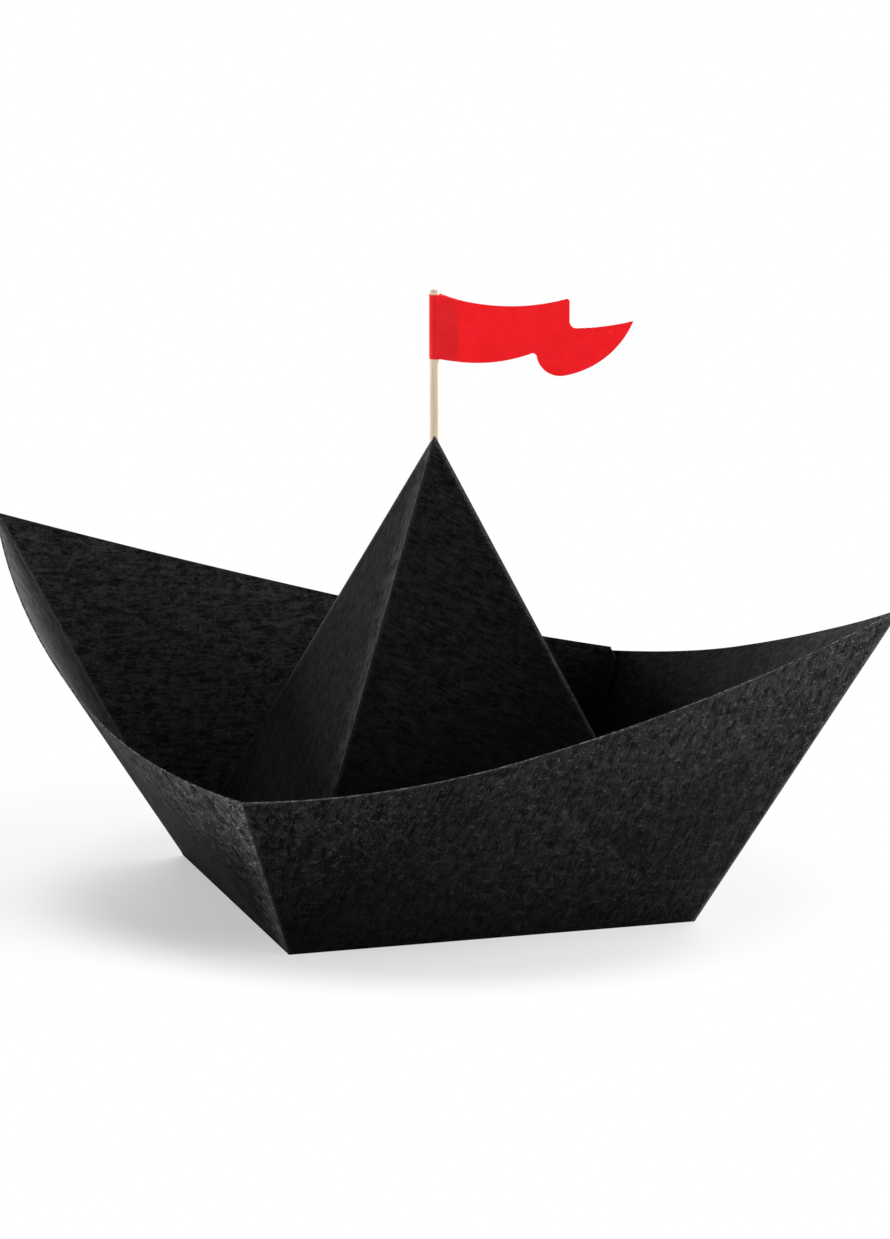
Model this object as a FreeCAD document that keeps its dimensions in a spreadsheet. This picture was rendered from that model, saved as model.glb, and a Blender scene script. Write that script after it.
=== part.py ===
import FreeCAD, Part
import math
import os
import Sketcher

# A sailboat folded from one sheet of card, with a wooden stick through the tip of its sail and a flag on it.
# X runs along the boat, from stem to stem, and Z is up. The origin lies on the floor, in the middle of the
# square on which the sail stands. The sail is a hollow pyramid over that square, and each wall of the hull
# is the same sheet, turned back upwards at the square's edge. A wall is bent as card bends: a cone about
# each lower corner, with a flat triangle between the two.

# Driving sizes, in millimetres and degrees.
SIZES = [
    ("card_thickness", 0.4),
    # The folded square and the sail over it
    ("base_half_length", 64.0),
    ("base_half_width", 66.5),
    ("sail_height", 102.0),
    # The rim: its low points beside the sail, and its high points at the two stems
    ("rim_mid_reach", 86.9),
    ("rim_mid_height", 37.6),
    ("stem_reach", 112.2),
    ("stem_height", 74.1),
    ("rim_lean", 24.9),
    # How far each wall bulges, and how far from its low end the bulge is deepest
    ("front_bulge", 12.9),
    ("front_bulge_place", 59.0),
    ("back_bulge", 7.2),
    ("back_bulge_place", 53.3),
    ("cone_foot", 2.0),
    # Widths of the cut and folded card, as multiples of its thickness
    ("foot_spread", 1.2),
    ("side_mitre", 1.07),
    ("stem_mitre", 1.2),
    # At the seam the sheet's end is glued a little low, so the wall's rim starts lower there
    ("seam_step", 0.85),
    ("seam_step_run", 100.0),
    # The glue tab along the sheet's seam, at the back of the boat
    ("tab_width", 5.0),
    ("tab_slant", 37.0),
    ("tab_spring", 7.0),
    ("tab_top_height", 92.0),
    ("tab_top_width", 1.5),
    # The stick
    ("mast_diameter", 2.0),
    ("mast_top_height", 133.9),
    ("mast_length", 66.0),
    ("mast_point_length", 6.0),
    ("mast_bevel", 0.3),
    ("mast_tip_diameter", 0.6),
    ("mast_offset", -0.4),
    ("mast_setback", 0.8),
    ("mast_hole_clearance", 0.05),
    # The flag: two layers of paper, glued together and wrapped round the stick
    ("flag_paper", 0.15),
    ("flag_clearance", 0.05),
    ("flag_heading", 28.0),
    ("flag_wrap_reach", 5.0),
    ("flag_below_top", 15.2),
    ("flag_hoist", 14.2),
    ("flag_length", 43.3),
    ("flag_tip_rise", 8.3),
    ("flag_collar", 1.3),
    ("flag_top_sag", 2.1),
    ("flag_panel_reach", 29.4),
    ("flag_panel_drop", 1.0),
    ("flag_panel_round", 0.6),
    ("flag_step_round", 1.6),
    ("flag_step_rise", 6.7),
    ("flag_tail_sag", 0.35),
    ("flag_notch_reach", 21.3),
    ("flag_notch_rise", 1.2),
    ("flag_notch_round", 1.0),
    ("flag_lower_sag", 1.5),
    ("flag_keel_reach", 28.2),
    ("flag_keel_drop", 3.8),
    ("flag_heel_sag", 1.4),
    ("flag_sweep_sag", 2.5),
    ("cutting_margin", 2.0),
]



def panel_corner(side, face, depth, inward):
    """Formulas for the top corner of a wall's flat triangle: its place from the foot's corner, and the plane's tilt."""
    name = f"{side}_{face}"
    place = f"sizes.{side}_bulge_place"
    return [
        (f"{name}_x", f"along_x * {place} + across_x * ({depth})"),
        (f"{name}_y", f"along_y * {place} + across_y * ({depth}) + sizes.rim_mid_reach - sizes.base_half_width"),
        (f"{name}_z", f"along_z * {place} + across_z * ({depth}) + sizes.rim_mid_height"),
        (f"{name}_run", f"{name}_x * edge_x - {name}_y * edge_y"),
        (f"{name}_out", f"{name}_x * edge_y + {name}_y * edge_x + {inward}"),
        (f"{name}_tilt", f"atan2({name}_z; {name}_out)"),
        (f"{name}_slope", f"sqrt({name}_z^2 + {name}_out^2)"),
    ]


# Values worked out from the driving sizes.
WORKED = [
    ("base_edge", "sqrt(sizes.base_half_length^2 + sizes.base_half_width^2)"),
    ("edge_x", "sizes.base_half_length / base_edge"),
    ("edge_y", "sizes.base_half_width / base_edge"),
    ("edge_turn", "-atan2(sizes.base_half_width; sizes.base_half_length)"),
    ("foot_width", "sizes.card_thickness * sizes.foot_spread"),
    # The rim's chord runs from its low point to the stem
    ("chord_plan", "sqrt(sizes.stem_reach^2 + sizes.rim_mid_reach^2)"),
    ("chord", "sqrt(chord_plan^2 + (sizes.stem_height - sizes.rim_mid_height)^2)"),
    ("chord_turn", "-atan2(sizes.rim_mid_reach; sizes.stem_reach)"),
    ("chord_rise", "atan2(sizes.stem_height - sizes.rim_mid_height; chord_plan)"),
    # The directions along the rim's chord and square to it in the rim's plane, by their parts along X, Y and Z
    ("along_x", "cos(chord_turn) * cos(chord_rise)"),
    ("along_y", "sin(chord_turn) * cos(chord_rise)"),
    ("lean_rise", "sin(sizes.rim_lean) * sin(chord_rise)"),
    ("across_x", "lean_rise * cos(chord_turn) - cos(sizes.rim_lean) * sin(chord_turn)"),
    ("across_y", "lean_rise * sin(chord_turn) + cos(sizes.rim_lean) * cos(chord_turn)"),
    ("along_z", "sin(chord_rise)"),
    ("across_z", "-sin(sizes.rim_lean) * cos(chord_rise)"),
    ("side_joint", "sizes.card_thickness * sizes.side_mitre / sqrt(along_x^2 + across_x^2)"),
    ("stem_joint", "sizes.card_thickness * sizes.stem_mitre / sqrt(along_y^2 + across_y^2)"),
    # The walls' flat triangles, outside and inside
    *panel_corner("back", "outer", "sizes.back_bulge", "0"),
    *panel_corner("back", "inner", "sizes.back_bulge - sizes.card_thickness", "foot_width"),
    *panel_corner("front", "outer", "sizes.front_bulge", "0"),
    *panel_corner("front", "inner", "sizes.front_bulge - sizes.card_thickness", "foot_width"),
    # The sail's card, measured along the floor, and the hollow inside it as a share of the pyramid
    ("sail_inradius", "sizes.base_half_length * sizes.base_half_width / base_edge"),
    ("sail_slope", "atan2(sizes.sail_height; sail_inradius)"),
    ("sail_foot_width", "sizes.card_thickness / sin(sail_slope)"),
    ("hollow_share", "1 - sail_foot_width / sail_inradius"),
    # The wall's curve leaves the chord at the seam by this angle, and the tab by less
    ("wall_turn", "2 * atan2(sizes.back_bulge; sizes.back_bulge_place)"),
    ("tab_turn", "wall_turn - sizes.tab_spring * 1 deg"),
    ("tab_low_height", "2 * sizes.card_thickness"),
    ("mast_radius", "sizes.mast_diameter / 2"),
    ("mast_low_height", "sizes.mast_top_height - sizes.mast_length"),
    ("flag_low_height", "sizes.mast_top_height - sizes.flag_below_top"),
    # The flag's paper leaves the stick at this angle from the flag's own direction
    ("loop_inside", "mast_radius + sizes.flag_clearance"),
    ("loop_outside", "loop_inside + sizes.flag_paper"),
    ("closing_reach", "sqrt(sizes.flag_wrap_reach^2 + sizes.flag_paper^2)"),
    ("closing_angle", "atan2(sizes.flag_paper; sizes.flag_wrap_reach)"),
    ("leaving_angle", "closing_angle + acos(loop_outside / closing_reach)"),
]


def fill_sheet(doc, name, rows):
    """Put each name beside its value, and give the value's cell that name."""
    sheet = doc.addObject("Spreadsheet::Sheet", name)
    for number, (alias, value) in enumerate(rows, start=1):
        sheet.set(f"A{number}", alias)
        sheet.set(f"B{number}", f"={value}" if isinstance(value, str) else str(value))
        sheet.setAlias(f"B{number}", alias)
    doc.recompute()
    return sheet


def worth(owner, expression):
    """The number that an expression stands for."""
    result = owner.evalExpression(expression)
    return float(getattr(result, "Value", result))


def new_body(doc, name, label):
    body = doc.addObject("PartDesign::Body", name)
    body.Label = label
    return body


def origin_plane(body, role):
    return next(item for item in body.Origin.OriginFeatures if item.Role == role)


def new_sketch(body, name, plane="XY_Plane", placement=None):
    sketch = body.newObject("Sketcher::SketchObject", name)
    sketch.AttachmentSupport = [(origin_plane(body, plane), "")]
    sketch.MapMode = "FlatFace"
    if placement:
        sketch.setExpression("AttachmentOffset", placement)
    return sketch


def round_edge(start, end, radius, centre_on_left):
    """The arc of the given radius, less than half a circle, between two points."""
    chord = end - start
    across = FreeCAD.Vector(-chord.y, chord.x, 0).normalize()
    reach = math.sqrt(max(radius**2 - (chord.Length / 2) ** 2, 0))
    side = 1 if centre_on_left else -1
    middle = (start + end) / 2 + across * side * (reach - radius)
    return Part.Arc(start, middle, end) if centre_on_left else Part.Arc(end, middle, start)


def draw_outline(sketch, corners, arcs=None):
    """Draw a closed outline through corners given as expressions. arcs holds the round edges' radii."""
    arcs = arcs or {}
    count = len(corners)
    points = [FreeCAD.Vector(worth(sketch, x), worth(sketch, y), 0) for x, y in corners]
    first = sketch.GeometryCount
    starts = []
    for index, point in enumerate(points):
        following = points[(index + 1) % count]
        if index in arcs:
            radius, side = arcs[index]
            sketch.addGeometry(round_edge(point, following, worth(sketch, radius), side == "left"), False)
            starts.append(1 if side == "left" else 2)
        else:
            sketch.addGeometry(Part.LineSegment(point, following), False)
            starts.append(1)
    for index in range(count):
        before = (index - 1) % count
        joined = (first + before, 3 - starts[before], first + index, starts[index])
        sketch.addConstraint(Sketcher.Constraint("Coincident", *joined))
    for index, (x, y) in enumerate(corners):
        bind(sketch, "DistanceX", first + index, starts[index], points[index].x, x)
        bind(sketch, "DistanceY", first + index, starts[index], points[index].y, y)
    for index, (radius, side) in arcs.items():
        number = sketch.addConstraint(Sketcher.Constraint("Radius", first + index, worth(sketch, radius)))
        sketch.setExpression(f"Constraints[{number}]", radius)


def bind(sketch, kind, edge, end, value, expression):
    """Hold one end of an edge at a distance from the sketch's origin that follows an expression."""
    number = sketch.addConstraint(Sketcher.Constraint(kind, -1, 1, edge, end, value))
    if expression != "0":
        sketch.setExpression(f"Constraints[{number}]", expression)


def draw_point(sketch):
    sketch.addGeometry(Part.Point(FreeCAD.Vector(0, 0, 0)), False)
    sketch.addConstraint(Sketcher.Constraint("Coincident", 0, 1, -1, 1))


def add_loft(body, name, foot, top, cut=False):
    """Straight lines from each point of the foot's outline to the top's."""
    loft = body.newObject("PartDesign::SubtractiveLoft" if cut else "PartDesign::AdditiveLoft", name)
    loft.Profile = foot
    loft.Sections = [top]
    loft.Ruled = True
    body.Document.recompute()
    return loft


def add_mirror(body, name, features):
    """The same features on the other side of the plane across the boat."""
    mirror = body.newObject("PartDesign::Mirrored", name)
    mirror.Originals = features
    mirror.MirrorPlane = (origin_plane(body, "YZ_Plane"), [""])
    body.Tip = mirror
    body.Document.recompute()


def beside_edge(along, inward, share="1"):
    """A point so far along the square's edge from its corner on Y, and so far inwards from the edge."""
    x = f"({along}) * worked.edge_x - ({inward}) * worked.edge_y"
    y = f"({share}) * sizes.base_half_width - ({along}) * worked.edge_y - ({inward}) * worked.edge_x"
    return x, y


def at_side_corner(inward, share="1"):
    """Where a line that far inwards from the square's edge meets Y."""
    return "0", f"({share}) * sizes.base_half_width - ({inward}) / worked.edge_x"


def at_stem_corner(inward):
    """Where a line that far inwards from the square's edge meets X."""
    return f"sizes.base_half_length - ({inward}) / worked.edge_y", "0"


def draw_cone_foot(sketch, at_stem):
    """The short strip on which a bent end of a wall stands, at the wall's side corner or its stem corner."""
    inward = "worked.foot_width"
    if at_stem:
        far = "worked.base_edge - sizes.cone_foot"
        corners = [beside_edge(far, "0"), at_stem_corner("0"), at_stem_corner(inward), beside_edge(far, inward)]
    else:
        near = "sizes.cone_foot"
        corners = [at_side_corner("0"), beside_edge(near, "0"), beside_edge(near, inward), at_side_corner(inward)]
    draw_outline(sketch, corners)


def draw_cone_rim(sketch, at_stem, bulge, place):
    """The cut edge of a wall's bent end, seen square to it: an arc from the wall's corner to its deepest bulge."""
    inside = f"({bulge} - sizes.card_thickness)"
    if at_stem:
        stem_x = "worked.chord - worked.stem_joint * worked.across_y"
        stem_y = "worked.stem_joint * worked.along_y"
        corners = [(place, bulge), ("worked.chord", "0"), (stem_x, stem_y), (place, inside)]
        outer_run = f"(worked.chord - {place})"
        inner_run = f"({stem_x} - {place})"
        inner_rise = f"({inside} - ({stem_y}))"
    else:
        side_x = "worked.side_joint * worked.across_x"
        side_y = "-worked.side_joint * worked.along_x"
        corners = [("0", "0"), (place, bulge), (place, inside), (side_x, side_y)]
        outer_run = place
        inner_run = f"({place} - {side_x})"
        inner_rise = f"({inside} - ({side_y}))"
    arcs = {
        0: (tangent_radius(outer_run, bulge), "right"),
        2: (tangent_radius(inner_run, inner_rise), "left"),
    }
    draw_outline(sketch, corners, arcs)


def tangent_radius(run, rise):
    """The radius of an arc that is level at its top and falls by the rise over the run."""
    return f"(({run})^2 + ({rise})^2) / (2 * {rise})"


def level(height, turn="0"):
    """A level plane over the origin."""
    return f"placement(vector(0; 0; {height}); rotation({turn}; 0; 0))"


def rim_plane(half_turn):
    """The plane of a wall's cut edge, from its low point along its chord."""
    sign = "-" if half_turn else ""
    start = f"vector(0; {sign}sizes.rim_mid_reach; sizes.rim_mid_height)"
    turn = f"rotation(worked.chord_turn + {half_turn} deg; -worked.chord_rise; -sizes.rim_lean)"
    return f"placement({start}; {turn})"


def tipped(slant):
    """A plane tipped downwards along its own first direction."""
    return f"placement(vector(0; 0; 0); rotation(vector(0; 1; 0); {slant}))"


def panel_plane(face, half_turn, inward):
    """The plane of a wall's flat triangle, from the foot's corner beside the sail, along the foot."""
    sign = "-" if half_turn else ""
    x = f"{sign}(-{inward} * worked.edge_y)"
    y = f"{sign}(sizes.base_half_width - {inward} * worked.edge_x)"
    turn = f"rotation(worked.edge_turn + {half_turn} deg; 0; worked.{face}_tilt)"
    return f"placement(vector({x}; {y}; 0); {turn})"


def add_panel(body, side, half_turn):
    """A wall's flat triangle, from its outer face to its inner one."""
    faces = []
    for face, inward in ((f"{side}_outer", "0"), (f"{side}_inner", "worked.foot_width")):
        sketch = new_sketch(body, f"{face}_panel", placement=panel_plane(face, half_turn, inward))
        near = ("sizes.cone_foot", "0")
        far = ("worked.base_edge - sizes.cone_foot", "0")
        draw_outline(sketch, [near, far, (f"worked.{face}_run", f"worked.{face}_slope")])
        faces.append(sketch)
    return add_loft(body, f"{side}_panel", *faces)


def add_cone(body, side, half_turn, at_stem):
    """A wall's bent end: straight lines fan out from the wall's lower corner to its cut edge."""
    name = f"{side}_stem_cone" if at_stem else f"{side}_side_cone"
    foot = new_sketch(body, f"{name}_foot", placement=level("0", half_turn))
    draw_cone_foot(foot, at_stem)
    rim = new_sketch(body, f"{name}_rim", placement=rim_plane(half_turn))
    draw_cone_rim(rim, at_stem, f"sizes.{side}_bulge", f"sizes.{side}_bulge_place")
    return add_loft(body, name, foot, rim)


def add_walls(body):
    """The four walls of the hull. The front ones are drawn like the back ones, turned round."""
    back = [add_cone(body, "back", 0, False), add_panel(body, "back", 0), add_cone(body, "back", 0, True)]
    add_mirror(body, "back_wall_mirrored", back)
    front = [add_cone(body, "front", 180, True), add_panel(body, "front", 180), add_cone(body, "front", 180, False)]
    add_mirror(body, "front_wall_mirrored", front)


def trim_seam(body):
    """Lower the rim beside the seam, from nothing at the run's end to the whole step at the seam."""
    slant = "-atan2(sizes.seam_step; sizes.seam_step_run)"
    lowered = "placement(vector(0; 0; -sizes.seam_step); rotation(0; 0; 0))"
    sketch = new_sketch(body, "seam_trim", placement=f"{rim_plane(0)} * {lowered} * {tipped(slant)}")
    joint_x = "worked.across_x * sizes.cutting_margin"
    joint_y = "worked.along_x * sizes.cutting_margin"
    end = "sqrt(sizes.seam_step_run^2 + sizes.seam_step^2)"
    corners = [
        (joint_x, f"-{joint_y}"),
        (end, f"-{joint_y}"),
        (end, "sizes.back_bulge + sizes.cutting_margin"),
        (f"-{joint_x} * 4", f"{joint_y} * 4"),
    ]
    draw_outline(sketch, corners)
    trim = body.newObject("PartDesign::Pocket", "seam_trimmed")
    trim.Profile = sketch
    trim.Reversed = True
    trim.setExpression("Length", "sizes.seam_step * 2")
    body.Document.recompute()


def draw_square(sketch, share):
    long_way = f"sizes.base_half_length * {share}"
    short_way = f"sizes.base_half_width * {share}"
    corners = [(long_way, "0"), ("0", short_way), (f"-{long_way}", "0"), ("0", f"-{short_way}")]
    draw_outline(sketch, corners)


def add_pyramid(body, name, share, cut=False):
    foot = new_sketch(body, f"{name}_foot")
    draw_square(foot, share)
    tip = new_sketch(body, f"{name}_tip", placement=level(f"sizes.sail_height * {share}"))
    draw_point(tip)
    return add_loft(body, name, foot, tip, cut)


def add_hull_tab(body):
    """The glue tab inside the hull: it starts in the seam's crease and springs a little off its wall."""
    foot = new_sketch(body, "hull_tab_foot")
    outside = "worked.foot_width / 2"
    inside = "worked.foot_width * 2"
    corners = [
        at_side_corner(outside),
        beside_edge("sizes.tab_width", outside),
        beside_edge("sizes.tab_width", inside),
        at_side_corner(inside),
    ]
    draw_outline(foot, corners)
    top = new_sketch(body, "hull_tab_top", placement=f"{rim_plane(0)} * {tipped('sizes.tab_slant')}")
    far_x = "sizes.tab_width * cos(worked.tab_turn)"
    far_y = "sizes.tab_width * sin(worked.tab_turn) - sizes.card_thickness"
    corners = [
        ("0", "-sizes.card_thickness / 2"),
        (far_x, f"{far_y} + sizes.card_thickness / 2"),
        (far_x, f"{far_y} - sizes.card_thickness / 2"),
        ("0", "-sizes.card_thickness * 3 / 2"),
    ]
    draw_outline(top, corners)
    add_loft(body, "hull_tab", foot, top)


def add_sail_tab(body):
    """The same tab where the seam climbs the sail: on the outside of the next face, narrowing upwards."""
    low_end = ("low", "worked.tab_low_height", "sizes.tab_width")
    top_end = ("top", "sizes.tab_top_height", "sizes.tab_top_width")
    sections = []
    for end, height, width in (low_end, top_end):
        sketch = new_sketch(body, f"sail_tab_{end}", placement=level(height))
        share = f"1 - {height} / sizes.sail_height"
        inside = "worked.sail_foot_width / 2"
        outside = "-worked.sail_foot_width"
        corners = [
            at_side_corner(outside, share),
            beside_edge(width, outside, share),
            beside_edge(width, inside, share),
            at_side_corner(inside, share),
        ]
        draw_outline(sketch, corners)
        sections.append(sketch)
    add_loft(body, "sail_tab", *sections)


def add_mast_hole(body):
    sketch = new_sketch(body, "mast_hole_outline")
    radius = "worked.mast_radius + sizes.mast_hole_clearance"
    centre = FreeCAD.Vector(worth(sketch, "sizes.mast_offset"), worth(sketch, "sizes.mast_setback"), 0)
    sketch.addGeometry(Part.Circle(centre, FreeCAD.Vector(0, 0, 1), worth(sketch, radius)), False)
    bind(sketch, "DistanceX", 0, 3, centre.x, "sizes.mast_offset")
    bind(sketch, "DistanceY", 0, 3, centre.y, "sizes.mast_setback")
    number = sketch.addConstraint(Sketcher.Constraint("Radius", 0, worth(sketch, radius)))
    sketch.setExpression(f"Constraints[{number}]", radius)
    hole = body.newObject("PartDesign::Pocket", "mast_hole")
    hole.Profile = sketch
    hole.Type = "ThroughAll"
    hole.Reversed = True
    body.Document.recompute()


def build_boat(doc):
    """The folded sheet: four hull walls, the hollow sail and the glue tab, all of one piece."""
    boat = new_body(doc, "Boat", "folded_boat")
    add_walls(boat)
    trim_seam(boat)
    add_pyramid(boat, "sail", "1")
    add_hull_tab(boat)
    add_sail_tab(boat)
    add_pyramid(boat, "sail_hollow", "worked.hollow_share", cut=True)
    add_mast_hole(boat)
    return boat


def build_mast(doc):
    """A round wooden stick, tapered below and eased at its top."""
    mast = new_body(doc, "Mast", "mast")
    profile = new_sketch(mast, "mast_profile", "XZ_Plane")
    radius = "worked.mast_radius"
    corners = [
        ("0", "0"),
        ("sizes.mast_tip_diameter / 2", "0"),
        (radius, "sizes.mast_point_length"),
        (radius, "sizes.mast_length - sizes.mast_bevel"),
        (f"{radius} - sizes.mast_bevel", "sizes.mast_length"),
        ("0", "sizes.mast_length"),
    ]
    draw_outline(profile, corners)
    turned = mast.newObject("PartDesign::Revolution", "mast_turned")
    turned.Profile = profile
    turned.ReferenceAxis = (profile, ["V_Axis"])
    place = "vector(sizes.mast_offset; sizes.mast_setback; worked.mast_low_height)"
    mast.setExpression("Placement", f"placement({place}; rotation(0; 0; 0))")
    doc.recompute()
    return mast


def draw_flag_section(sketch):
    """The flag from above: a loop round the stick, closing to two layers glued flat."""
    cos_out = "worked.loop_outside * cos(worked.leaving_angle)"
    sin_out = "worked.loop_outside * sin(worked.leaving_angle)"
    end = "sizes.flag_length + sizes.cutting_margin"
    outer = [
        (end, "-sizes.flag_paper"),
        (end, "sizes.flag_paper"),
        ("sizes.flag_wrap_reach", "sizes.flag_paper"),
        (cos_out, sin_out),
        ("-worked.loop_outside", "0"),
        (cos_out, f"-{sin_out}"),
        ("sizes.flag_wrap_reach", "-sizes.flag_paper"),
    ]
    draw_outline(sketch, outer, {3: ("worked.loop_outside", "left"), 4: ("worked.loop_outside", "left")})
    cos_in = "worked.loop_inside * cos(worked.leaving_angle)"
    sin_in = "worked.loop_inside * sin(worked.leaving_angle)"
    inner = [
        ("worked.loop_inside / cos(worked.leaving_angle)", "0"),
        (cos_in, sin_in),
        ("-worked.loop_inside", "0"),
        (cos_in, f"-{sin_in}"),
    ]
    draw_outline(sketch, inner, {1: ("worked.loop_inside", "left"), 2: ("worked.loop_inside", "left")})


def sag_radius(start, end, sag):
    """The radius of an arc between two corners that leaves their chord by the sag."""
    across = f"(({end[0]}) - ({start[0]}))^2 + (({end[1]}) - ({start[1]}))^2"
    return f"({across}) / (8 * {sag}) + {sag} / 2"


def draw_flag_outline(sketch):
    """What is cut away round the flag, seen from its side: a frame with the flag's own outline inside it."""
    inner_side = "-worked.loop_outside - sizes.cutting_margin / 2"
    panel_top = "sizes.flag_hoist - sizes.flag_panel_drop"
    notch_side = "sizes.flag_notch_reach + sizes.flag_notch_round"
    corners = [
        (inner_side, "0"),
        ("sizes.flag_collar", "0"),
        ("sizes.flag_notch_reach", "sizes.flag_notch_rise"),
        (notch_side, "sizes.flag_notch_rise - sizes.flag_notch_round"),
        ("sizes.flag_keel_reach", "-sizes.flag_keel_drop"),
        ("sizes.flag_length", "sizes.flag_tip_rise"),
        ("sizes.flag_panel_reach + sizes.flag_step_round", "sizes.flag_step_rise"),
        ("sizes.flag_panel_reach", "sizes.flag_step_rise + sizes.flag_step_round"),
        ("sizes.flag_panel_reach", f"{panel_top} - sizes.flag_panel_round"),
        ("sizes.flag_panel_reach - sizes.flag_panel_round", panel_top),
        ("sizes.flag_collar", "sizes.flag_hoist"),
        (inner_side, "sizes.flag_hoist"),
    ]
    arcs = {
        1: (sag_radius(corners[1], corners[2], "sizes.flag_lower_sag"), "left"),
        2: ("sizes.flag_notch_round", "right"),
        3: (sag_radius(corners[3], corners[4], "sizes.flag_heel_sag"), "left"),
        4: (sag_radius(corners[4], corners[5], "sizes.flag_sweep_sag"), "left"),
        5: (sag_radius(corners[5], corners[6], "sizes.flag_tail_sag"), "right"),
        6: ("sizes.flag_step_round", "right"),
        8: ("sizes.flag_panel_round", "left"),
        9: (sag_radius(corners[9], corners[10], "sizes.flag_top_sag"), "right"),
    }
    draw_outline(sketch, corners, arcs)
    left = "-worked.loop_outside - sizes.cutting_margin"
    right = "sizes.flag_length + sizes.cutting_margin * 2"
    below = "-sizes.flag_keel_drop - sizes.cutting_margin * 2"
    above = "sizes.flag_hoist + sizes.cutting_margin * 2"
    draw_outline(sketch, [(left, below), (right, below), (right, above), (left, above)])


def build_flag(doc):
    """A paper flag, folded round the stick, glued to itself and cut to its outline."""
    flag = new_body(doc, "Flag", "flag")
    below = "-sizes.flag_keel_drop - sizes.cutting_margin"
    section = new_sketch(flag, "flag_section", placement=level(below))
    draw_flag_section(section)
    strip = flag.newObject("PartDesign::Pad", "flag_strip")
    strip.Profile = section
    strip.setExpression("Length", "sizes.flag_hoist + sizes.flag_keel_drop + sizes.cutting_margin * 2")
    doc.recompute()
    outline = new_sketch(flag, "flag_outline", "XZ_Plane")
    draw_flag_outline(outline)
    shape = flag.newObject("PartDesign::Pocket", "flag_cut")
    shape.Profile = outline
    shape.Type = "ThroughAll"
    shape.Midplane = True
    place = "vector(sizes.mast_offset; sizes.mast_setback; worked.flag_low_height)"
    flag.setExpression("Placement", f"placement({place}; rotation(sizes.flag_heading; 0; 0))")
    doc.recompute()
    return flag


def check(doc, bodies):
    """Stop on any object that failed, and on any piece that isn't one sound solid."""
    for item in doc.Objects:
        if "Invalid" in item.State or "Error" in item.State:
            raise RuntimeError(f"{item.Name} failed: {item.State}")
    for body in bodies:
        shape = body.Shape
        if shape.isNull() or not shape.isValid():
            raise RuntimeError(f"{body.Label} has no valid shape")
        if len(shape.Solids) != 1:
            raise RuntimeError(f"{body.Label} has {len(shape.Solids)} solids")


def main():
    doc = FreeCAD.newDocument("sailboat")
    fill_sheet(doc, "sizes", SIZES)
    fill_sheet(doc, "worked", WORKED)
    bodies = [build_boat(doc), build_mast(doc), build_flag(doc)]
    check(doc, bodies)
    os.makedirs("parts", exist_ok=True)
    for body in bodies:
        body.Shape.exportStep(f"parts/{body.Label}.step")
        box = body.Shape.BoundBox
        extent = f"{box.XLength:.2f} x {box.YLength:.2f} x {box.ZLength:.2f} mm"
        print(f"{body.Label}: {len(body.Shape.Faces)} faces, {body.Shape.Volume:.1f} mm3, {extent}")


main()
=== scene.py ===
"""The looks of a boat folded from black card, with a red paper flag on a wooden stick, on a pale floor."""

import math

import bmesh
import bpy
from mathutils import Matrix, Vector


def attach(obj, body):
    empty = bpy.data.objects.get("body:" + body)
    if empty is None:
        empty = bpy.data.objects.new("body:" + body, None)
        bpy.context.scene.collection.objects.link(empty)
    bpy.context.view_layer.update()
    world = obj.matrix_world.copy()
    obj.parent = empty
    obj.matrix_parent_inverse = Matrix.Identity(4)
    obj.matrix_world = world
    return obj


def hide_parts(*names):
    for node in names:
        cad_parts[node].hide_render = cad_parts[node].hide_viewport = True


# The folded sheet's sizes in metres, as its source has them.
BASE_X = 0.064
BASE_Y = 0.0665
SAIL_TIP = Vector((0, 0, 0.102))
RIM_LOW_Y = 0.0869
RIM_LOW_Z = 0.0376
STEM_X = 0.1122
STEM_Z = 0.0741
RIM_LEAN = math.radians(24.9)

# How far each rim bows out from its chord, and how far along the chord it does so most.
FRONT_BOW = (0.0129, 0.059)
BACK_BOW = (0.0072, 0.0533)

# The back right rim is this much lower at the seam, and the step runs out over this length.
SEAM_STEP = 0.00085
SEAM_RUN = 0.1

# Steps along a rim, and the rim distance given to the sail, which has none.
RIM_STEPS = 60
NO_RIM = 0.05

# A face whose middle is inside this share of the folded square belongs to the sail.
SAIL_SHARE = 0.993

# Faces nearer to the rim than this, and facing up more than this, are cut edges.
EDGE_REACH = 0.0016
EDGE_UP = 0.5

# The same for the small top of the glue tab, which also has a least height, a reach in X and a largest area.
TAB_REACH = 0.004
TAB_UP = 0.6
TAB_LOW = 0.0355
TAB_RUN = 0.004
TAB_AREA = 0.000004

# The turn in degrees of the card's grain on each panel.
GRAIN_TURNS = {
    ("sail", -1, -1): 25,
    ("sail", 1, -1): -60,
    ("sail", 1, 1): 20,
    ("sail", -1, 1): -20,
    ("wall", -1, -1): 12,
    ("wall", 1, -1): 8,
    ("wall", 1, 1): 60,
    ("wall", -1, 1): 88,
}

# The least painted shade, and the distances in metres over which the walls' shades change.
LOW_TONE = 0.2
OUTER_FADE = 0.036
INNER_FADE = 0.035
PAINTED_LIGHT_REACH = 0.09

# Widths in metres of the pale lines on folds and rims, and of the broad bands of painted light beside them at
# the front left.
SIDE_FOLD = 0.0008
STEM_FOLD = 0.0011
RIM_LINE = 0.0008
FOLD_BAND = 0.008
RIM_BAND = 0.024

# How far in metres the felt of the card moves the borders of the lines and of the bands.
LINE_RAGGED = 0.004
BAND_RAGGED = 0.016

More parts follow.
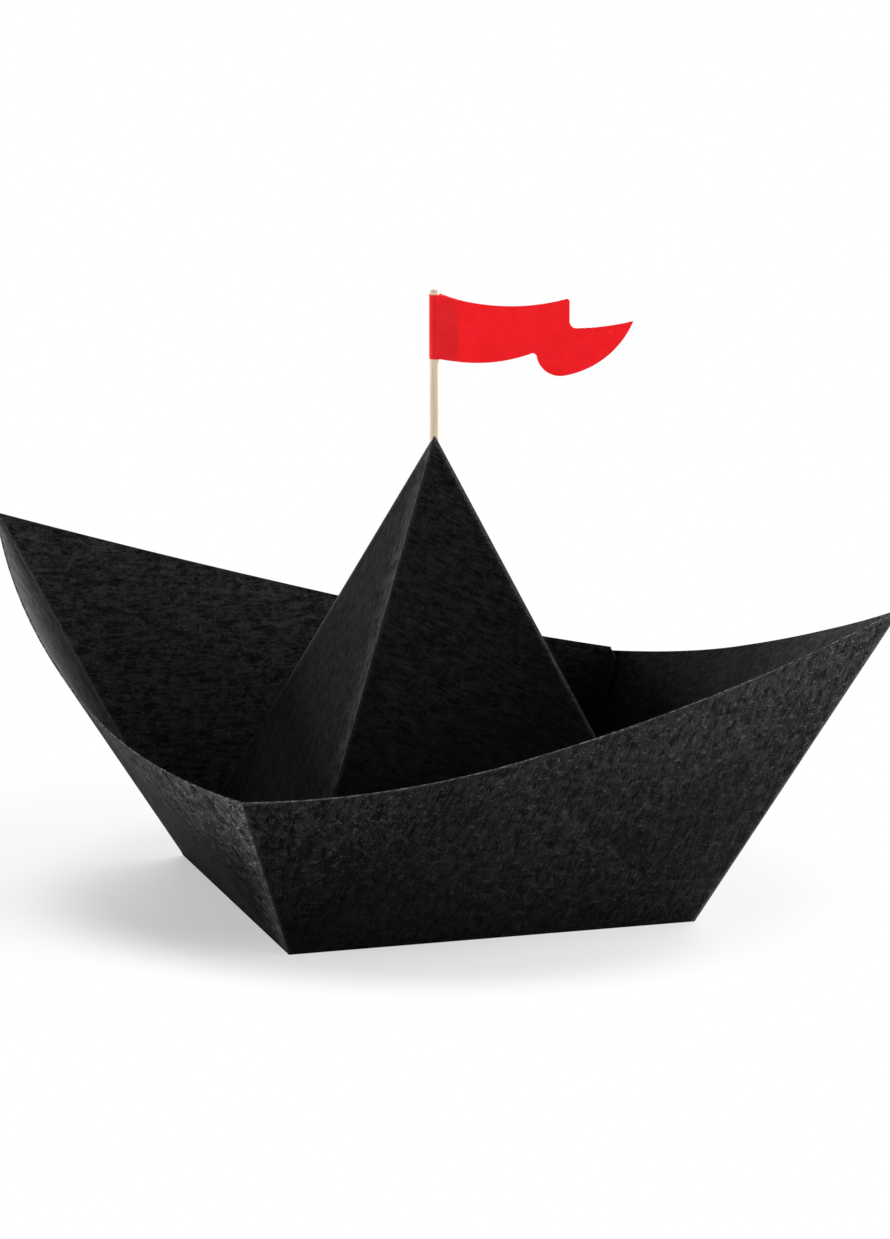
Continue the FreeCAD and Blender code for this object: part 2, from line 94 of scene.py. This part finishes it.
CARD_DARK = (0.0012, 0.0012, 0.0013, 1)
CARD_LIGHT = (0.019, 0.019, 0.0195, 1)
THREAD_GREY = (0.07, 0.07, 0.07, 1)
PALE_GREY = (0.13, 0.13, 0.13, 1)
CUT_DARK = (0.03, 0.03, 0.03, 1)
CUT_LIGHT = (0.24, 0.24, 0.24, 1)
WOOD_DARK = (0.66, 0.53, 0.37, 1)
WOOD_LIGHT = (0.8, 0.69, 0.52, 1)
RED_DARK = (0.86, 0.005, 0.011, 1)
RED_LIGHT = (0.92, 0.009, 0.018, 1)
RED_TOOTH = (0.92, 0.06, 0.06, 1)
FLOOR_WHITE = (0.84, 0.84, 0.84, 1)

# The photograph's view: place in metres, turn in degrees, and lens in millimetres on a frame 36 mm high.
CAMERA_PLACE = (0.78509, -1.48225, 0.42263)
CAMERA_TURN = (77.823, -0.0187, 27.834)
CAMERA_LENS = 227.12
LIGHT_AIM = (0, 0, 0.05)

# The middle of the shadow that the floor keeps.
SHADOW_MIDDLE = (-0.05, 0.005, 0)

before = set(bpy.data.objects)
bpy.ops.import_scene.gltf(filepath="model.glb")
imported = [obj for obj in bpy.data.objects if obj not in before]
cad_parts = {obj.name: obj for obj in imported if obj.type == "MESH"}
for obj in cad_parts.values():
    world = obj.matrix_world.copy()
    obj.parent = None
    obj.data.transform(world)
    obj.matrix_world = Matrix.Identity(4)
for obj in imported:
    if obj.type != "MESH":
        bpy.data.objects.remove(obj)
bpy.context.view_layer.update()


def set_camera():
    """The photograph's view: a long lens, a little above the boat, to the right of its low front corner."""
    data = bpy.data.cameras.new("view_camera")
    camera = bpy.data.objects.new("view_camera", data)
    bpy.context.collection.objects.link(camera)
    camera.location = CAMERA_PLACE
    camera.rotation_euler = [math.radians(angle) for angle in CAMERA_TURN]
    data.sensor_fit = "VERTICAL"
    data.sensor_height = 36
    data.lens = CAMERA_LENS
    data.clip_start = 0.05
    data.clip_end = 20
    bpy.context.scene.camera = camera


def add_light(name, place, width, height, power):
    """A plain white area light, turned to the boat and not seen itself."""
    data = bpy.data.lights.new(name, "AREA")
    data.shape = "RECTANGLE"
    data.size = width
    data.size_y = height
    data.energy = power
    lamp = bpy.data.objects.new(name, data)
    bpy.context.collection.objects.link(lamp)
    lamp.location = place
    lamp.rotation_euler = (Vector(LIGHT_AIM) - Vector(place)).to_track_quat("-Z", "Y").to_euler()
    lamp.visible_camera = False


def node(tree, kind, ins=None, **settings):
    """One shader node with its own settings. In ins, each socket has a value or the output that feeds it."""
    made = tree.nodes.new(kind)
    for key, value in settings.items():
        setattr(made, key, value)
    for socket, given in (ins or {}).items():
        if isinstance(given, bpy.types.NodeSocket):
            tree.links.new(given, made.inputs[socket])
        else:
            made.inputs[socket].default_value = given
    return made


def maths(tree, operation, first, second=0.0):
    """A Math node's result."""
    return node(tree, "ShaderNodeMath", {0: first, 1: second}, operation=operation).outputs[0]


def plus(tree, first, second):
    return maths(tree, "ADD", first, second)


def times(tree, first, second):
    return maths(tree, "MULTIPLY", first, second)


def weighted(tree, first, share, second):
    """The given share of the first value, and the rest of the second."""
    return plus(tree, times(tree, first, share), times(tree, second, 1 - share))


def ramp(tree, value, low, high, at_low=0.0, at_high=1.0):
    """A value turned into another by a smooth step."""
    ins = {0: value, 1: low, 2: high, 3: at_low, 4: at_high}
    return node(tree, "ShaderNodeMapRange", ins, interpolation_type="SMOOTHSTEP").outputs[0]


def blend_colours(tree, share, first, second):
    ins = {0: share, 6: first, 7: second}
    return node(tree, "ShaderNodeMix", ins, data_type="RGBA", clamp_factor=True).outputs[2]


def noise(tree, place, scale, detail=3.0, roughness=0.5, distortion=0.0):
    ins = {"Vector": place, "Scale": scale, "Detail": detail, "Roughness": roughness}
    ins["Distortion"] = distortion
    return node(tree, "ShaderNodeTexNoise", ins).outputs["Fac"]


def stretched(tree, place, scale, turn=0.0):
    """The place with each direction scaled by itself, so that a noise on it becomes short fibres."""
    ins = {"Vector": place, "Rotation": (0, 0, turn), "Scale": scale}
    return node(tree, "ShaderNodeMapping", ins).outputs[0]


def own_place(tree):
    """The place on the piece itself."""
    return node(tree, "ShaderNodeTexCoord").outputs["Object"]


def map_place(tree, name):
    """The place in one of the boat's own maps."""
    return node(tree, "ShaderNodeUVMap", uv_map=name).outputs[0]


def map_parts(tree, name):
    """The two values that one of the boat's own maps carries."""
    parts = node(tree, "ShaderNodeSeparateXYZ", {0: map_place(tree, name)})
    return parts.outputs[0], parts.outputs[1]


def new_material(name):
    material = bpy.data.materials.new(name)
    material.use_nodes = True
    tree = material.node_tree
    tree.nodes.clear()
    shader = node(tree, "ShaderNodeBsdfPrincipled")
    output = node(tree, "ShaderNodeOutputMaterial")
    tree.links.new(shader.outputs[0], output.inputs[0])
    return material, tree, shader


def finish(tree, shader, colour, roughness, height, strength, distance):
    """Join a colour, a roughness and a relief of the given strength and depth to the shader."""
    tree.links.new(colour, shader.inputs["Base Color"])
    if isinstance(roughness, bpy.types.NodeSocket):
        tree.links.new(roughness, shader.inputs["Roughness"])
    else:
        shader.inputs["Roughness"].default_value = roughness
    bump = node(tree, "ShaderNodeBump", {"Height": height, "Strength": strength, "Distance": distance})
    tree.links.new(bump.outputs[0], shader.inputs["Normal"])


def card_material():
    """Matt black card: a felt of short fibres, pale threads and specks, folds and rims worn paler in thin lines,
    a painted shade per panel, and broad painted light beside the folds and rims at the front left.
    """
    material, tree, shader = new_material("black_card")
    flat = map_place(tree, "grain")
    to_side, to_stem = map_parts(tree, "folds")
    to_rim, pale_share = map_parts(tree, "rims")
    # The painted shade of each panel, and the share of painted light at the front left.
    tone, painted_light_share = map_parts(tree, "painted_shade_and_light")

    fibre = noise(tree, stretched(tree, flat, (1600, 640, 1)), 1.0, 3.0, 0.65, 1.5)
    long_fibre = noise(tree, stretched(tree, flat, (1100, 200, 1), 0.15), 1.0, 2.0, 0.6, 1.0)
    cloud = noise(tree, flat, 380.0, 3.0, 0.6)
    grit = noise(tree, flat, 2000.0, 2.0, 0.6)
    strands = weighted(tree, fibre, 0.55, long_fibre)
    mottle = weighted(tree, strands, 0.75, cloud)
    colour = blend_colours(tree, ramp(tree, mottle, 0.41, 0.6), CARD_DARK, CARD_LIGHT)

    web = noise(tree, flat, 760.0, 2.0, 0.5, 0.8)
    off_web = maths(tree, "ABSOLUTE", maths(tree, "SUBTRACT", web, 0.5))
    broken = ramp(tree, noise(tree, flat, 560.0, 2.0, 0.5), 0.48, 0.62)
    thread = times(tree, ramp(tree, off_web, 0.0, 0.045, 1.0, 0.0), broken)
    thread = times(tree, times(tree, thread, 0.7), pale_share)
    colour = blend_colours(tree, thread, colour, THREAD_GREY)
    speck = times(tree, times(tree, ramp(tree, grit, 0.66, 0.73), 0.85), pale_share)
    colour = blend_colours(tree, speck, colour, PALE_GREY)

    felt = maths(tree, "SUBTRACT", times(tree, plus(tree, fibre, grit), 0.5), 0.5)
    ragged = times(tree, felt, LINE_RAGGED)
    side_fold = ramp(tree, plus(tree, to_side, ragged), 0.0, SIDE_FOLD, 0.12, 0.0)
    stem_fold = ramp(tree, plus(tree, to_stem, ragged), 0.0, STEM_FOLD, 0.6, 0.0)
    rim = ramp(tree, plus(tree, to_rim, ragged), 0.0, RIM_LINE, 0.4, 0.0)
    worn = maths(tree, "MAXIMUM", maths(tree, "MAXIMUM", side_fold, stem_fold), rim)

    ragged = times(tree, felt, BAND_RAGGED)
    # Broad bands of painted light beside the side fold and the rim, at the front left only.
    fold_painted_light = ramp(tree, plus(tree, to_side, ragged), 0.0, FOLD_BAND, 2.4, 0.0)
    rim_painted_light = ramp(tree, plus(tree, to_rim, ragged), 0.0, RIM_BAND, 3.0, 0.0)
    painted_light = times(tree, painted_light_share, plus(tree, fold_painted_light, rim_painted_light))
    drift = ramp(tree, noise(tree, flat, 45.0, 2.0, 0.5), 0.25, 0.75, 0.85, 1.15)
    # The painted shade and the painted light, with a random drift, scale the card's colour.
    shade = times(tree, drift, plus(tree, tone, painted_light))
    colour = node(tree, "ShaderNodeVectorMath", {0: colour, "Scale": shade}, operation="SCALE").outputs[0]
    colour = blend_colours(tree, worn, colour, PALE_GREY)

    shader.inputs["Specular IOR Level"].default_value = 0.06
    roughness = ramp(tree, mottle, 0.3, 0.7, 0.78, 0.6)
    finish(tree, shader, colour, roughness, weighted(tree, strands, 0.7, grit), 0.7, 0.00035)
    return material


def cut_edge_material():
    """The card's cut edge: the same card, paler where the knife opened its fibres."""
    material, tree, shader = new_material("card_cut_edge")
    fibre = noise(tree, own_place(tree), 1100.0, 3.0, 0.7)
    colour = blend_colours(tree, ramp(tree, fibre, 0.42, 0.66), CUT_DARK, CUT_LIGHT)
    finish(tree, shader, colour, 0.85, fibre, 0.5, 0.0001)
    return material


def stick_material():
    """Pale plain wood with fine grain along the stick."""
    material, tree, shader = new_material("pale_wood")
    place = own_place(tree)
    grain = noise(tree, stretched(tree, place, (2600, 2600, 90)), 1.0, 3.0, 0.6, 0.5)
    wide = noise(tree, stretched(tree, place, (700, 700, 25)), 1.0, 2.0, 0.5)
    mixed = weighted(tree, grain, 0.6, wide)
    colour = blend_colours(tree, ramp(tree, mixed, 0.36, 0.64), WOOD_DARK, WOOD_LIGHT)
    shader.inputs["Specular IOR Level"].default_value = 0.25
    finish(tree, shader, colour, ramp(tree, grain, 0.3, 0.7, 0.8, 0.6), mixed, 0.4, 0.0001)
    return material


def flag_material():
    """Bright red paper, a little uneven in its colour, with a fine tooth."""
    material, tree, shader = new_material("red_paper")
    place = own_place(tree)
    cloud = noise(tree, place, 260.0, 3.0, 0.6)
    tooth = noise(tree, place, 3600.0, 2.0, 0.6)
    colour = blend_colours(tree, ramp(tree, cloud, 0.3, 0.7), RED_DARK, RED_LIGHT)
    colour = blend_colours(tree, times(tree, tooth, 0.04), colour, RED_TOOTH)
    shader.inputs["Specular IOR Level"].default_value = 0.2
    shader.inputs["Subsurface Weight"].default_value = 0.25
    shader.inputs["Subsurface Radius"].default_value = (1.0, 0.12, 0.1)
    shader.inputs["Subsurface Scale"].default_value = 0.0006
    finish(tree, shader, colour, ramp(tree, tooth, 0.3, 0.7, 0.72, 0.6), tooth, 0.25, 0.00008)
    return material


def floor_material():
    """A plain white floor that keeps the boat's shadow and goes over into the white backdrop."""
    material, tree, shader = new_material("white_floor")
    place = own_place(tree)
    offset = node(tree, "ShaderNodeVectorMath", {0: place, 1: SHADOW_MIDDLE}, operation="SUBTRACT").outputs[0]
    from_shadow = node(tree, "ShaderNodeVectorMath", {0: offset}, operation="LENGTH").outputs["Value"]
    reach = node(tree, "ShaderNodeVectorMath", {0: place}, operation="LENGTH").outputs["Value"]
    shader.inputs["Base Color"].default_value = FLOOR_WHITE
    shader.inputs["Roughness"].default_value = 0.9
    glow = node(tree, "ShaderNodeEmission", {"Color": (1, 1, 1, 1), "Strength": 1.0})
    seen = node(tree, "ShaderNodeLightPath").outputs["Is Camera Ray"]
    near = ramp(tree, from_shadow, 0.06, 0.11, 0.45, 0.66)
    far = ramp(tree, reach, 0.07, 0.098, 0.0, 0.34)
    share = times(tree, plus(tree, near, far), seen)
    mixed = node(tree, "ShaderNodeMixShader", {0: share, 1: shader.outputs[0], 2: glow.outputs[0]})
    output = next(item for item in tree.nodes if item.type == "OUTPUT_MATERIAL")
    tree.links.new(mixed.outputs[0], output.inputs[0])
    return material


def set_world():
    """White where the camera sees it, plain and dimmer where it lights the boat."""
    world = bpy.data.worlds.new("plain_world")
    bpy.context.scene.world = world
    world.use_nodes = True
    tree = world.node_tree
    tree.nodes.clear()
    seen = node(tree, "ShaderNodeLightPath").outputs["Is Camera Ray"]
    strength = plus(tree, times(tree, seen, 0.95), 0.05)
    sky = node(tree, "ShaderNodeBackground", {"Color": (1, 1, 1, 1), "Strength": strength})
    output = node(tree, "ShaderNodeOutputWorld")
    tree.links.new(sky.outputs[0], output.inputs[0])


def make_floor():
    bpy.ops.object.select_all(action="DESELECT")
    bpy.ops.mesh.primitive_plane_add(size=12, location=(0, 0, 0))
    floor = bpy.context.object
    floor.name = "floor"
    floor.data.materials.append(floor_material())


def rim_line(side_x, side_y):
    """Points along a wall's cut edge, worked out from the sizes of its two arcs."""
    bow, at = FRONT_BOW if side_y < 0 else BACK_BOW
    low = Vector((0, side_y * RIM_LOW_Y, RIM_LOW_Z))
    high = Vector((side_x * STEM_X, 0, STEM_Z))
    along = (high - low).normalized()
    chord = (high - low).length
    level_out = Vector((along.y, -along.x, 0)).normalized()
    if level_out.dot(Vector((side_x, side_y, 0))) < 0:
        level_out = -level_out
    upright = level_out.cross(along)
    if upright.z < 0:
        upright = -upright
    out = level_out * math.cos(RIM_LEAN) - upright * math.sin(RIM_LEAN)
    step = SEAM_STEP if side_x > 0 and side_y > 0 else 0
    points = []
    for index in range(RIM_STEPS + 1):
        run = chord * index / RIM_STEPS
        reach = at if run < at else chord - at
        radius = (reach * reach + bow * bow) / (2 * bow)
        rise = math.sqrt(radius * radius - (run - at) ** 2) - (radius - bow)
        sunk = step * max(0, 1 - run / SEAM_RUN)
        points.append(low + along * run + out * rise - Vector((0, 0, sunk)))
    return points


def line_distance(point, start, end):
    direction = (end - start).normalized()
    offset = point - start
    return (offset - direction * offset.dot(direction)).length


def boat_copy():
    """The folded sheet as one clean mesh, with the places of its panels in its own maps."""
    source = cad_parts["folded_boat"]
    mesh = source.data.copy()
    boat = bpy.data.objects.new("card_boat", mesh)
    bpy.context.collection.objects.link(boat)
    boat.matrix_world = source.matrix_world
    bpy.ops.object.select_all(action="DESELECT")
    boat.select_set(True)
    bpy.context.view_layer.objects.active = boat
    bpy.ops.object.mode_set(mode="EDIT")
    bpy.ops.mesh.select_all(action="SELECT")
    bpy.ops.mesh.remove_doubles(threshold=0.00001)
    bpy.ops.mesh.dissolve_limited(angle_limit=math.radians(0.2))
    bpy.ops.mesh.quads_convert_to_tris(quad_method="BEAUTY", ngon_method="BEAUTY")
    bpy.ops.mesh.select_all(action="DESELECT")
    bpy.ops.object.mode_set(mode="OBJECT")
    mesh.materials.clear()
    mesh.materials.append(card_material())
    mesh.materials.append(cut_edge_material())
    map_panels(boat)
    bpy.ops.object.shade_smooth_by_angle(angle=math.radians(22))
    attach(boat, "root")
    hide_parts("folded_boat")


def panel_tone(point, rim, side_x, inside, inner):
    """The shade painted into the card's colour, for what the lamps alone don't give in the photograph's view."""
    if inside:
        rise = point.z / SAIL_TIP.z
        tone = 1.0 - 0.35 * rise if side_x < 0 else 0.4 + 0.3 * rise
    elif inner:
        tone = 1.85 if side_x < 0 else 1.35
        tone *= 0.4 + 0.6 * min(abs(point.x) / INNER_FADE, 1)
    else:
        outward = max(0, abs(point.x) / STEM_X - 0.3)
        tone = 1.3 - 1.1 * min(rim / OUTER_FADE, 1) + (1.5 if side_x > 0 else -2.2) * outward
    return max(tone, LOW_TONE)


def is_cut_edge(face, middle, farthest):
    """Whether a face is the card's cut edge on a rim, or the small one on top of the glue tab."""
    on_rim = farthest < EDGE_REACH and face.normal.z > EDGE_UP
    on_tab = farthest < TAB_REACH and face.normal.z > TAB_UP and 0 < middle.x < TAB_RUN
    on_tab = on_tab and face.calc_area() < TAB_AREA and all(vert.co.z > TAB_LOW for vert in face.verts)
    return on_rim or on_tab


def map_panels(boat):
    """Four maps, each with two values: the place in the grain, the distances from the side fold and the stem
    fold, the distance from the rim with the share of pale threads, and the painted shade with the share of
    painted light."""
    made = bmesh.new()
    made.from_mesh(boat.data)
    for layer in list(made.loops.layers.uv):
        made.loops.layers.uv.remove(layer)
    grain, folds, rims, painted_shade_and_light = [made.loops.layers.uv.new(name) for name in ("grain", "folds", "rims", "painted_shade_and_light")]
    lines = {(sx, sy): rim_line(sx, sy) for sx in (-1, 1) for sy in (-1, 1)}
    for face in made.faces:
        middle = face.calc_center_median()
        side_x = -1 if middle.x < 0 else 1
        side_y = -1 if middle.y < 0 else 1
        inside = abs(middle.x) / BASE_X + abs(middle.y) / BASE_Y < SAIL_SHARE
        inner = not inside and face.normal.dot(Vector((side_x, side_y, 0))) < 0
        side = Vector((0, side_y * BASE_Y, 0))
        stem = Vector((side_x * BASE_X, 0, 0))
        side_top = SAIL_TIP if inside else Vector((0, side_y * RIM_LOW_Y, RIM_LOW_Z))
        stem_top = SAIL_TIP if inside else Vector((side_x * STEM_X, 0, STEM_Z))
        across = (stem - side).normalized()
        top = (side_top + stem_top) / 2 - side
        upwards = (top - across * top.dot(across)).normalized()
        turn = math.radians(GRAIN_TURNS[("sail" if inside else "wall", side_x, side_y)])
        # Each panel takes its own place in the grain, so that no pattern comes back.
        shift = 0.37 * (side_x + 1) + 0.53 * (side_y + 1)
        shift += 1.7 if inside else 3.1 if inner else 0
        # Painted light beside the side fold and the rim on the front left wall's outside and the sail's front
        # left panel, fading away from the middle.
        front_left = (side_x, side_y) == (-1, -1) and not inner
        farthest = 0
        for loop in face.loops:
            point = loop.vert.co
            right = (point - side).dot(across)
            up = (point - side).dot(upwards)
            u = right * math.cos(turn) - up * math.sin(turn) + shift
            v = right * math.sin(turn) + up * math.cos(turn) + shift
            rim = NO_RIM if inside else min((point - spot).length for spot in lines[(side_x, side_y)])
            farthest = max(farthest, rim)
            painted_light_share = max(0, 1 - abs(point.x) / PAINTED_LIGHT_REACH) if front_left else 0
            loop[grain].uv = (u, v)
            loop[folds].uv = (line_distance(point, side, side_top), line_distance(point, stem, stem_top))
            loop[rims].uv = (rim, 0.35 if inner or inside else 1)
            loop[painted_shade_and_light].uv = (panel_tone(point, rim, side_x, inside, inner), painted_light_share)
        if is_cut_edge(face, middle, farthest):
            face.material_index = 1
    made.to_mesh(boat.data)
    made.free()


def dress(name, material):
    """Give a fixed part its finish."""
    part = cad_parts[name]
    part.data.materials.clear()
    part.data.materials.append(material)


set_camera()
set_world()
make_floor()
add_light("back_low", (0, 1.8, 0.35), 3.0, 0.7, 100)
add_light("left_back_low", (-1.6, 0.85, 0.25), 1.2, 0.5, 3)
add_light("left_low", (-1.8, -0.2, 0.3), 1.2, 0.5, 4.6)
add_light("right_low", (1.8, 0.3, 0.35), 2.0, 0.7, 34)
add_light("back_left_high", (-0.75, 0.75, 1.1), 1.0, 1.0, 3.3)
add_light("back_right_high", (0.75, 0.75, 1.1), 1.0, 1.0, 5)
add_light("front_left_low", (-1.2, -1.5, 0.25), 1.0, 0.5, 26)
boat_copy()
dress("mast", stick_material())
dress("flag", flag_material())

bpy.context.scene.view_settings.view_transform = "Standard"
